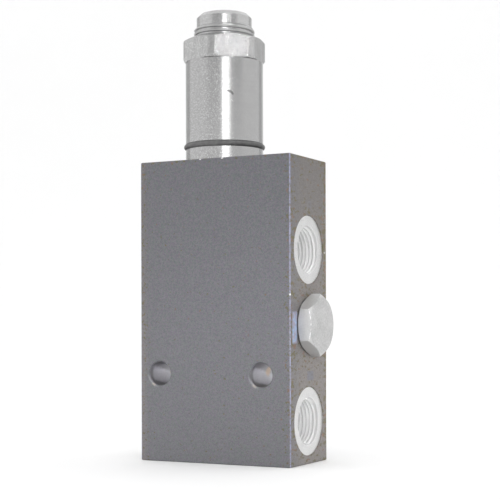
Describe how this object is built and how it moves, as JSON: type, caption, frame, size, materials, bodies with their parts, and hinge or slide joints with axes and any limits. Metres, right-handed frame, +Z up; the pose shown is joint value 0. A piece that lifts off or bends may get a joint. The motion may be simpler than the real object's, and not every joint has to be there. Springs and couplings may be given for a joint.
{
  "type": "hydraulic counterbalance valve",
  "caption": "In-line counterbalance valve: steel block with threaded ports, hex plug and an adjustable spring cartridge on top.",
  "frame": {"origin": "centre of the block's base face, on the block's own mid planes", "axes": "+Z up along the cartridge, +X across the width towards the face with V1, V2 and the hex plug, +Y from the front face to the back face"},
  "size_m": [0.0655, 0.03, 0.161],
  "materials": {
    "phosphated_steel": "dark grey phosphated steel, matt",
    "zinc_plated_steel": "zinc plated steel, satin",
    "ground_steel": "hardened and ground steel",
    "spring_steel": "dark spring steel",
    "black_rubber": "black nitrile rubber, matt",
    "white_plastic": "white PTFE"
  },
  "bodies": {
    "root": {"valve_block": "phosphated_steel", "spring_housing": "zinc_plated_steel", "lock_nut": "zinc_plated_steel", "cap_o_ring": "black_rubber", "housing_o_ring": "black_rubber", "valve_cage": "ground_steel", "cage_o_ring": "black_rubber", "cage_backup_ring": "white_plastic", "pilot_bush": "ground_steel", "bush_o_ring": "black_rubber", "main_spring": "spring_steel", "check_spring": "spring_steel", "hex_plug": "zinc_plated_steel", "plug_seal": "black_rubber"},
    "upper_seat": {"upper_spring_seat": "ground_steel"},
    "adjuster": {"adjusting_screw": "zinc_plated_steel", "adjuster_o_ring": "black_rubber"},
    "poppet": {"poppet": "ground_steel", "poppet_o_ring": "black_rubber", "poppet_backup_ring": "white_plastic", "lower_spring_seat": "ground_steel"},
    "check": {"check_seat": "ground_steel", "check_seat_o_ring": "black_rubber"},
    "pilot": {"pilot_piston": "ground_steel", "pilot_o_ring": "black_rubber", "pilot_backup_ring": "white_plastic"}
  },
  "joints": [
    {"name": "adjuster_feed", "type": "slide", "parent": "root", "child": "upper_seat", "axis": [0, 0, 1], "range_m": [-0.00375, 0.003], "deforming": ["main_spring"]},
    {"name": "adjuster_turn", "type": "hinge", "parent": "upper_seat", "child": "adjuster", "pos_m": [-0.0035, 0, 0.15], "axis": [0, 0, 1], "range_deg": [-901, 721]},
    {"name": "poppet_lift", "type": "slide", "parent": "root", "child": "poppet", "axis": [0, 0, 1], "range_m": [0, 0.002], "stiffness_N_per_m": 103000, "deforming": ["main_spring"]},
    {"name": "check_open", "type": "slide", "parent": "root", "child": "check", "axis": [0, 0, 1], "range_m": [-0.002, 0], "stiffness_N_per_m": 600, "springref_m": 0.00015, "deforming": ["check_spring"]},
    {"name": "pilot_stroke", "type": "slide", "parent": "root", "child": "pilot", "axis": [0, 0, 1], "range_m": [0, 0.0021]}
  ],
  "couplings": [
    {"joint": "adjuster_turn", "follows": "adjuster_feed", "rad_per_m": 4188.8},
    {"joint": "pilot_stroke", "follows": "poppet_lift", "ratio": 1}
  ]
}
